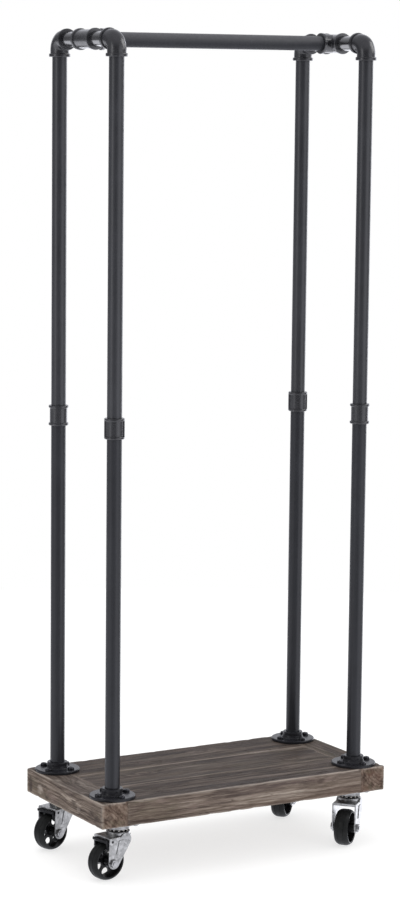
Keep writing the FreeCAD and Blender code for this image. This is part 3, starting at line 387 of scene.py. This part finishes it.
def board_wood(name, grain):
    """Grey-brown stained, brushed softwood. The mesh carries ring, tone, wear, dark mark and endgrain."""
    m = Mat(name, IOR=1.45)
    m.b.inputs["Specular IOR Level"].default_value = 0.28
    along = (0.035, 1.0, 1.0) if grain == "x" else (1.0, 0.035, 1.0)
    mid = (0.11, 1.0, 1.0) if grain == "x" else (1.0, 0.11, 1.0)
    patch = (0.32, 1.0, 1.0) if grain == "x" else (1.0, 0.32, 1.0)
    long = (0.05, 1.0, 1.0) if grain == "x" else (1.0, 0.07, 1.0)
    ring, tone, wear = m.attr("ring"), m.attr("tone"), m.attr("wear")
    dark_mark, end, painted_deck_shade, stain = m.attr("dark_mark"), m.attr("endgrain"), m.attr("painted_deck_shade"), m.attr("stain")
    fibre = m.noise(650, 4, 0.62, source=m.scaled(along))
    streak = m.noise(170, 4, 0.62, source=m.scaled(long))
    cloud = m.noise(16, 3, 0.6, source=m.scaled(mid))
    dots = m.noise(1500, 3, 0.6)
    hair = m.noise(1500, 2, 0.5, source=m.scaled((0.022, 1.0, 1.0) if grain == "x" else (1.0, 0.022, 1.0)))
    t = m.math("MULTIPLY", tone, 0.62)
    t = m.math("ADD", t, m.math("MULTIPLY", streak, 0.72))
    t = m.math("ADD", t, m.math("MULTIPLY", fibre, 0.50))
    t = m.math("ADD", t, m.math("MULTIPLY", stain, 0.34))
    t = m.math("SUBTRACT", t, m.math("MULTIPLY", ring, 0.16))
    t = m.math("SUBTRACT", t, 0.475 if grain == "x" else 0.51)
    side = m.ramp(
        t,
        (0.40, lin(59, 47, 40)),
        (0.52, lin(90, 77, 68)),
        (0.62, lin(117, 104, 94)),
        (0.715, lin(143, 131, 121)),
        (0.84, lin(182, 171, 160)),
    )
    # warm brown, beige and plum patches under the grey wash
    side = m.mix(m.remap(cloud, 0.48, 0.66, 0.0, 0.45), side, lin(98, 79, 64))
    side = m.mix(m.remap(m.noise(23, 3, 0.6, source=m.scaled(mid)), 0.54, 0.70, 0.0, 0.40), side, lin(128, 116, 98))
    side = m.mix(m.remap(m.noise(11, 2, 0.5, source=m.scaled(mid)), 0.52, 0.70, 0.0, 0.30), side, lin(108, 95, 94))
    side = m.mix(m.remap(m.noise(38, 3, 0.6, source=m.scaled(patch)), 0.55, 0.72, 0.0, 0.42), side, lin(104, 98, 80))
    side = m.mix(m.remap(m.noise(47, 3, 0.6, source=m.scaled(patch)), 0.56, 0.72, 0.0, 0.45), side, lin(126, 106, 102))
    side = m.mix(m.remap(m.noise(33, 3, 0.6, source=m.scaled(patch)), 0.58, 0.74, 0.0, 0.55), side, lin(74, 60, 52))
    # open pores and raised fibres
    side = m.mix(m.remap(hair, 0.55, 0.68, 0.0, 0.55), side, lin(58, 48, 42))
    side = m.mix(m.remap(hair, 0.44, 0.33, 0.0, 0.40), side, lin(156, 144, 133))
    # painted shade: faces that look up are darkened to stand in for shade on the deck
    side = m.mix(painted_deck_shade, side, m.mix(1.0, side, lin(184, 181, 181), "MULTIPLY"))
    e = m.math("ADD", m.math("MULTIPLY", dots, 0.30), m.math("MULTIPLY", tone, 0.30))
    e = m.math("ADD", e, m.math("MULTIPLY", m.noise(62, 4, 0.62), 0.95))
    e = m.math("SUBTRACT", m.math("SUBTRACT", e, m.math("MULTIPLY", ring, 0.15)), 0.205)
    ends = m.ramp(e, (0.30, lin(45, 34, 28)), (0.44, lin(73, 57, 47)), (0.56, lin(100, 83, 73)), (0.74, lin(138, 122, 110)))
    ends = m.mix(m.remap(m.noise(48, 3, 0.6), 0.52, 0.66, 0.0, 0.6), ends, lin(84, 58, 46))
    ends = m.mix(m.remap(m.noise(41, 3, 0.6), 0.55, 0.70, 0.0, 0.5), ends, lin(98, 92, 76))
    body = m.mix(end, side, ends)
    body = m.mix(m.math("MULTIPLY", dark_mark, m.remap(fibre, 0.3, 0.7, 0.7, 1.0)), body, lin(52, 40, 34))
    pale = m.math("MULTIPLY", wear, m.remap(m.noise(120, 4, 0.65, source=m.scaled(mid)), 0.26, 0.56))
    body = m.mix(m.math("MULTIPLY", pale, 0.74), body, lin(170, 159, 150))
    m.color(body)
    m.rough(m.remap(m.math("ADD", m.math("MULTIPLY", fibre, 0.5), m.math("MULTIPLY", tone, 0.5)), 0.2, 0.8, 0.56, 0.80))
    under = m.bump(fibre, 0.0006, 0.7)
    m.bump(dots, 0.00015, 0.4, under)
    return m.m


MATERIALS = {
    "pipe_black": pipe_paint("pipe_paint", 1.5, 0.12, 0.0, (0.1, 0.9, 0.5)),
    "fitting_black": cast_paint("cast_paint", 1.5, 0.34),
    "dowel_wood": dowel_wood(),
    "screw_black": screw_black(),
    "screw_zinc": zinc_steel(),
    "zinc_sheet": zinc_sheet(),
    "ball_steel": ball_steel(),
    "tyre_rubber": tyre_rubber(),
    "wheel_plastic": wheel_plastic(),
    "pedal_plastic": pedal_plastic(),
}
MATERIALS["zinc_steel"] = MATERIALS["screw_zinc"]
WOOD = {"x": board_wood("board_wood_x", "x"), "y": board_wood("board_wood_y", "y")}
MATERIALS["weathered_wood"] = WOOD["x"]
NIPPLE = nipple_paint()
TEE = cast_paint("tee_paint", 1.7, 0.35)
# cross pipe: pipe paint with a stronger painted top sheen
CROSS = pipe_paint("cross_pipe_paint", 1.34, 0.0, 0.14, (-0.3, 0.8, 0.72))
# lower pipes: a less reflective, shaded copy of the pipe paint with less top sheen, painted shade
LOWER = pipe_paint("lower_pipe_paint", 1.37, 0.03, 0.0, (0.1, 0.9, 0.3))
# flanges: a less reflective, shaded copy of the fitting paint so the flange tops read darker, painted shade
FLANGE = cast_paint("flange_paint", 1.22, 0.12)

for part in frame["record"]["subparts"]:
    o = nodes[part["node"]]
    chosen = MATERIALS[part["material_slot"]]
    if part["node"].startswith("nipple"):
        chosen = NIPPLE
    elif part["node"].startswith("tee"):
        chosen = TEE
    elif part["node"].startswith("cross"):
        chosen = CROSS
    elif part["node"].startswith("lower_pipe"):
        chosen = LOWER
    elif part["node"].startswith("floor_flange"):
        chosen = FLANGE
    o.data.materials.clear()
    o.data.materials.append(chosen)

# ------------------------------------------------------------------- the boards


def lattice(lo, hi, step):
    """Positions from lo to hi: close together at both ends, about step apart between."""
    near = np.array([0, 0.35, 0.75, 1.2, 1.75, 2.4, 3.2]) / 1000.0
    n = max(2, int(round((hi - lo - 2 * near[-1]) / step)))
    middle = np.linspace(lo + near[-1], hi - near[-1], n + 1)
    return np.concatenate([lo + near[:-1], middle, (hi - near[:-1])[::-1]])


def board(name, grain, pith, seed, knots=(), pale=(), dark=(), ring_mm=6.0, seam=()):
    """One weathered board in the place of its CAD node. grain is 0 (X) or 1 (Y); pith is the tree's
    centre across the grain, in mm from the board's middle; seam names the sides that meet a neighbour."""
    lo, hi = (np.array(v, float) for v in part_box(name))
    steps = [0.0012] * 3
    steps[grain] = 0.0042
    axes = [lattice(lo[a], hi[a], steps[a]) for a in range(3)]
    n = [len(a) for a in axes]
    quads, index = [], {}

    def vid(i, j, k):
        key = (i * n[1] + j) * n[2] + k
        if key not in index:
            index[key] = len(index)
        return index[key]

    for a in range(3):
        b, c = (a + 1) % 3, (a + 2) % 3
        for end in (0, n[a] - 1):
            for u in range(n[b] - 1):
                for w in range(n[c] - 1):
                    corners = []
                    for du, dw in ((0, 0), (1, 0), (1, 1), (0, 1)):
                        ijk = [0, 0, 0]
                        ijk[a], ijk[b], ijk[c] = end, u + du, w + dw
                        corners.append(vid(*ijk))
                    quads.append(corners if end else corners[::-1])
    keys = np.array(list(index))
    i, rest = np.divmod(keys, n[1] * n[2])
    j, k = np.divmod(rest, n[2])
    p = np.stack([axes[0][i], axes[1][j], axes[2][k]], 1)

    # which face a point is on, as its outward axis
    d_lo, d_hi = p - lo, hi - p
    near = np.minimum(d_lo, d_hi)
    mm = p * 1000.0

    # worn, uneven rounding of the arrises
    radius = 1.3 + 1.5 * fbm(mm / 38.0, 3, seed) + 3.2 * smooth(0.66, 0.86, noise3(mm / 15.0, seed + 5))
    radius = radius / 1000.0
    for side in seam:
        a, s = "xyz".index(side[0]), side[1]
        close = (d_lo if s == "-" else d_hi)[:, a]
        radius = np.where(close < 0.006, np.minimum(radius, 0.0011), radius)
    inner = np.clip(p, lo + radius[:, None], hi - radius[:, None])
    out = p - inner
    length = np.linalg.norm(out, axis=1)
    out = out / np.maximum(length, 1e-9)[:, None]
    rounded = inner + out * radius[:, None]

    # growth rings about the pith, with slow wander along the grain
    across = [a for a in range(3) if a != grain]
    mid = (lo + hi) / 2 * 1000.0
    stretched = mm.copy()
    stretched[:, grain] /= 9.0
    ca = mm[:, across[0]] - mid[across[0]] - pith[0]
    cb = mm[:, across[1]] - mid[across[1]] - pith[1]
    rho = np.hypot(ca, cb)
    rho += 13.0 * (fbm(stretched / 26.0, 3, seed + 11) - 0.5)
    rho += 3.0 * (fbm(stretched / 7.0, 3, seed + 12) - 0.5)
    dark_mark = np.zeros(len(p))
    for at, size, shade in knots:
        q = mm - np.array(at)
        q[:, grain] /= 2.0
        d = np.linalg.norm(q, axis=1)
        rho += size * 1.3 * np.exp(-((d / (size * 1.5)) ** 2))
        eye = smooth(size * 0.62, size * 0.30, d + size * 0.25 * (noise3(mm / 3.0, seed + 40) - 0.5))
        dark_mark = np.maximum(dark_mark, eye * shade)
    # dark patches, made darker in colour, join the knots in one dark mark
    for at, reach, strength in dark:
        d = np.linalg.norm((mm - np.array(at)) / np.array(reach), axis=1) + 0.9 * (fbm(mm / 5.0, 2, seed + 42) - 0.5)
        dark_mark = np.maximum(dark_mark, strength * smooth(1.05, 0.45, d))
    phase = rho / ring_mm
    number = np.floor(phase)
    f = phase - number
    line = np.stack([number, np.full_like(number, 3.7), np.full_like(number, seed * 1.9)], 1)
    late = smooth(0.42, 0.86, f) * (1 - smooth(0.93, 1.0, f))
    late *= 0.45 + 0.55 * noise3(line * 0.999 + 0.31, seed + 21)
    shade_a = noise3(line * 0.61 + 0.2, seed + 22)
    shade_b = noise3((line + np.array([1, 0, 0])) * 0.61 + 0.2, seed + 22)
    tone = shade_a + (shade_b - shade_a) * smooth(0.75, 1.0, f)
    fine = stretched.copy()
    fine[:, grain] /= 2.5
    grainy = fbm(fine / 1.9, 3, seed + 33)
    tone = np.clip(0.62 * tone + 0.38 * fbm(fine / 4.2, 3, seed + 34) + 0.10 * (grainy - 0.5), 0, 1)

    # the brushed surface: soft wood between the rings is lower, with open fibres and checks
    on_end = near[:, grain] < 1e-6
    facing_end = np.abs(out[:, grain]) > 0.7
    sink = 0.42 * (1 - late) * (0.4 + 0.6 * fbm(fine / 6.0, 2, seed + 35)) + 0.26 * smooth(0.52, 0.75, grainy)
    crack_line = np.abs(fbm(fine / np.array([5.0, 5.0, 5.0]), 2, seed + 50) - 0.5)
    crack = smooth(0.012, 0.0, crack_line) * smooth(0.56, 0.70, fbm(stretched / 14.0, 2, seed + 51))
    sink += 1.1 * crack
    radial = np.arctan2(cb, ca)
    check_line = np.abs(fbm(np.stack([radial * 9.0, rho / 60.0, np.full_like(rho, seed)], 1), 2, seed + 60) - 0.5)
    check = smooth(0.02, 0.0, check_line) * smooth(0.48, 0.66, fbm(mm / 16.0, 2, seed + 61))
    saw = 0.10 * (noise3(np.stack([mm[:, across[0]] * 0.05, mm[:, across[1]] * 0.9, mm[:, across[0]] * 0.0], 1), seed + 62))
    sink_end = 0.22 * (1 - late) + saw + 1.0 * check
    sink = np.where(facing_end, sink_end, sink)
    sink += 0.5 * dark_mark * (noise3(mm / 2.2, seed + 41) - 0.2)
    seam_side = np.zeros(len(p), bool)
    for side in seam:
        a, s = "xyz".index(side[0]), side[1]
        seam_side |= (d_lo if s == "-" else d_hi)[:, a] < 1e-6
    sink = np.where(seam_side, 0.0, sink)
    final = rounded - out * (np.maximum(sink, 0.0) / 1000.0)[:, None]

    # pale wear on the arrises, and pale spots
    order = np.sort(near, axis=1)
    edge = order[:, 1] * 1000.0
    reach = 2.4 + 5.5 * fbm(mm / 30.0, 3, seed + 70)
    wear = smooth(1.0, 0.15, edge / reach) * smooth(0.22, 0.52, fbm(stretched / 9.0, 3, seed + 71) + 0.14)
    wear *= 0.55 + 0.45 * smooth(0.0, 0.4, out[:, 2])
    for at, size, strength in pale:
        q = mm - np.array(at)
        q[:, grain] /= 1.2
        d = np.linalg.norm(q, axis=1) + size * 0.7 * (fbm(mm / 4.0, 2, seed + 72) - 0.5)
        wear = np.maximum(wear, strength * smooth(size, size * 0.4, d))
    for side in seam:
        a, s = "xyz".index(side[0]), side[1]
        wear *= np.where((d_lo if s == "-" else d_hi)[:, a] < 0.004, 0.25, 1.0)
    tone = np.clip(tone - 0.5 * crack - 0.5 * np.where(facing_end, check, 0), 0, 1)

    mesh = bpy.data.meshes.new("wood_" + name)
    mesh.from_pydata([tuple(v) for v in final], [], quads)
    mesh.polygons.foreach_set("use_smooth", np.ones(len(mesh.polygons), bool))
    for key, values in (
        ("ring", late),
        ("tone", tone),
        ("wear", wear),
        ("dark_mark", dark_mark),
        ("endgrain", np.where(facing_end | on_end, 1.0, 0.0)),
        # painted shade mask: 1 on faces that look up
        ("painted_deck_shade", smooth(0.6, 0.95, out[:, 2])),
        ("stain", fbm(stretched / 19.0, 3, seed + 80)),
    ):
        attribute = mesh.attributes.new(key, "FLOAT", "POINT")
        attribute.data.foreach_set("value", values.astype(np.float32))
    mesh.materials.append(WOOD["xy"[grain]])
    mesh.update()
    piece = bpy.data.objects.new("wood_" + name, mesh)
    scene.collection.objects.link(piece)
    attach(piece, "rack")
    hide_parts(name)
    return piece


board(
    "end_board_left", 1, (-34.0, -30.0), 3,
    knots=[((-300, -38, 125.5), 9.0, 0.75), ((-300, -129, 117.5), 9.0, 0.85), ((-300, 68, 108.5), 7.0, 0.7), ((-270, 4, 147.5), 10.0, 0.8)],
    pale=[((-300, 95, 119.0), 11.0, 1.0), ((-300, -58, 116.0), 8.0, 0.35), ((-286, -140, 147.5), 9.0, 0.5), ((-292, 40, 147.5), 9.0, 0.45), ((-290, -60, 147.5), 8.0, 0.4)],
    dark=[((-300, 135, 117.0), (9, 8, 19), 0.9), ((-300, -106, 122.0), (6, 16, 9), 0.45), ((-287, -150, 121.0), (8, 7, 7), 0.55)],
    seam=("x+",),
)
board("end_board_right", 1, (30.0, 34.0), 8, knots=[((300, 40, 127.5), 8.0, 0.7), ((275, -20, 147.5), 7.0, 0.6)], seam=("x-",))
board(
    "plank_front", 0, (20.0, -62.0), 12,
    knots=[((159, -150, 135.5), 9.0, 0.75), ((-40, -120, 147.5), 9.0, 0.8)],
    dark=[((128, -150, 136.5), (30, 6, 4.5), 0.4), ((-215, -150, 139.5), (22, 6, 3.5), 0.45), ((-150, -150, 128.0), (40, 6, 3.5), 0.35)],
    seam=("x-", "x+", "y+"), ring_mm=7.0,
)
board("plank_middle", 0, (-12.0, -75.0), 17, knots=[((-130, 12, 147.5), 10.0, 0.85), ((170, -20, 147.5), 7.0, 0.7)], seam=("x-", "x+", "y-", "y+"), ring_mm=7.0)
board("plank_back", 0, (18.0, 58.0), 23, knots=[((60, 110, 147.5), 8.0, 0.8), ((-60, 150, 124.5), 7.0, 0.7)], seam=("x-", "x+", "y-"), ring_mm=6.5)

# --------------------------------------------------------- camera, floor, light

camera_data = bpy.data.cameras.new("camera")
camera = bpy.data.objects.new("camera", camera_data)
scene.collection.objects.link(camera)
az, el, roll = (math.radians(v) for v in (-30.08, 7.68, 0.59))
back = Vector((math.sin(az) * math.cos(el), -math.cos(az) * math.cos(el), math.sin(el)))
right = Vector((math.cos(az), math.sin(az), 0))
up = back.cross(right)
target = Vector((0, 0, 0.7454)) + right * -0.0180
right, up = right * math.cos(roll) + up * math.sin(roll), up * math.cos(roll) - right * math.sin(roll)
camera.matrix_world = Matrix(
    (
        (right.x, up.x, back.x, 0),
        (right.y, up.y, back.y, 0),
        (right.z, up.z, back.z, 0),
        (0, 0, 0, 1),
    )
)
camera.location = target + back * 4.989
camera_data.sensor_width = 36.0
camera_data.lens = 2708.0 * 36.0 / 900.0
camera_data.clip_end = 100.0
scene.camera = camera

floor_mesh = bpy.data.meshes.new("floor")
ring = [(2.6 * math.cos(math.tau * k / 96), 2.6 * math.sin(math.tau * k / 96), 0) for k in range(96)]
floor_mesh.from_pydata(ring, [], [tuple(range(96))])
floor = bpy.data.objects.new("floor", floor_mesh)
scene.collection.objects.link(floor)
floor.visible_glossy = False
paper = Mat("floor_paper", IOR=1.4)
paper.b.inputs["Specular IOR Level"].default_value = 0.05
paper.b.inputs["Emission Color"].default_value = (1, 1, 1, 1)
paper.b.inputs["Emission Strength"].default_value = 0.68
paper.color(paper.ramp(paper.noise(3, 4, 0.6), (0.3, lin(166, 166, 166)), (0.7, lin(172, 172, 172))))
paper.rough(paper.remap(paper.noise(300, 2, 0.5), 0.3, 0.7, 0.85, 0.95))
floor_mesh.materials.append(paper.m)


def softbox(name, at, aim, size, power):
    data = bpy.data.lights.new(name, "AREA")
    data.shape = "RECTANGLE"
    data.size, data.size_y = size
    data.energy = power
    o = bpy.data.objects.new(name, data)
    o.location = at
    o.rotation_euler = (Vector(aim) - Vector(at)).to_track_quat("-Z", "Y").to_euler()
    o.visible_camera = False
    scene.collection.objects.link(o)
    return o


left_box = softbox("left_box", (-3.9, -0.5, 1.6), (0, 0, 0.75), (0.9, 2.4), 14)
left_box.visible_diffuse = False
right_box = softbox("right_box", (1.6, -3.6, 1.8), (0, 0, 0.75), (0.9, 2.4), 16)
right_box.visible_glossy = False
rim_box = softbox("rim_box", (2.9, -1.2, 3.0), (0, 0, 1.4), (2.4, 2.2), 55)
rim_box.visible_diffuse = False
top_box = softbox("top_box", (-0.3, 0.6, 4.2), (0, 0, 0.5), (2.2, 2.2), 40)
top_box.visible_glossy = False

world = bpy.data.worlds.new("studio")
scene.world = world
world.use_nodes = True
world.cycles.sampling_method = "NONE"
wt = world.node_tree
wt.nodes.clear()


def wnode(kind, **props):
    n = wt.nodes.new(kind)
    for key, value in props.items():
        setattr(n, key, value)
    return n


def wmath(op, a, b):
    n = wnode("ShaderNodeMath", operation=op)
    for socket, value in zip(n.inputs, (a, b)):
        if isinstance(value, bpy.types.NodeSocket):
            wt.links.new(value, socket)
        else:
            socket.default_value = value
    return n.outputs[0]


def wstep(x, a, b):
    n = wnode("ShaderNodeMapRange", interpolation_type="SMOOTHSTEP")
    wt.links.new(x, n.inputs["Value"])
    n.inputs["From Min"].default_value, n.inputs["From Max"].default_value = a, b
    return n.outputs[0]


def wpanel(turn, width, feather):
    """A tall soft panel seen in reflections, turn degrees to the right of the camera."""
    angle = az - math.pi / 2 + math.radians(turn)
    n = wnode("ShaderNodeVectorMath", operation="DOT_PRODUCT")
    wt.links.new(w_dir, n.inputs[0])
    n.inputs[1].default_value = (math.cos(angle), math.sin(angle), 0)
    return wstep(n.outputs["Value"], math.cos(math.radians(width + feather)), math.cos(math.radians(width)))


w_dir = wnode("ShaderNodeTexCoord").outputs["Generated"]
w_axes = wnode("ShaderNodeSeparateXYZ")
wt.links.new(w_dir, w_axes.inputs[0])
glow = wmath("MULTIPLY", wstep(w_axes.outputs["Z"], 0.10, 0.70), 0.55)
glow = wmath("ADD", glow, wmath("MULTIPLY", wstep(w_axes.outputs["Z"], -0.12, -0.27), 1.25))
for turn, width, feather, level in ((54, 8, 28, 1.15), (-53, 6, 26, 0.5), (95, 10, 30, 0.12), (-90, 10, 30, 0.25), (143, 7, 17, 2.2), (-150, 7, 14, 0.4), (180, 15, 30, 0.9)):
    glow = wmath("ADD", glow, wmath("MULTIPLY", wpanel(turn, width, feather), level))
glow = wmath("ADD", glow, 0.12)
w_gloss = wnode("ShaderNodeBackground")
w_gloss.inputs["Color"].default_value = (0.98, 0.99, 1.06, 1)
wt.links.new(glow, w_gloss.inputs["Strength"])
w_even = wnode("ShaderNodeBackground")
w_even.inputs["Color"].default_value = (1, 1, 1, 1)
w_even.inputs["Strength"].default_value = 0.95
w_seen = wnode("ShaderNodeBackground")
w_seen.inputs["Color"].default_value = (1, 1, 1, 1)
w_path = wnode("ShaderNodeLightPath")
w_lit, w_all, w_out = wnode("ShaderNodeMixShader"), wnode("ShaderNodeMixShader"), wnode("ShaderNodeOutputWorld")
wt.links.new(w_path.outputs["Is Glossy Ray"], w_lit.inputs[0])
wt.links.new(w_even.outputs[0], w_lit.inputs[1])
wt.links.new(w_gloss.outputs[0], w_lit.inputs[2])
wt.links.new(w_path.outputs["Is Camera Ray"], w_all.inputs[0])
wt.links.new(w_lit.outputs[0], w_all.inputs[1])
wt.links.new(w_seen.outputs[0], w_all.inputs[2])
wt.links.new(w_all.outputs[0], w_out.inputs["Surface"])

scene.view_settings.view_transform = "Standard"
scene.view_settings.look = "None"
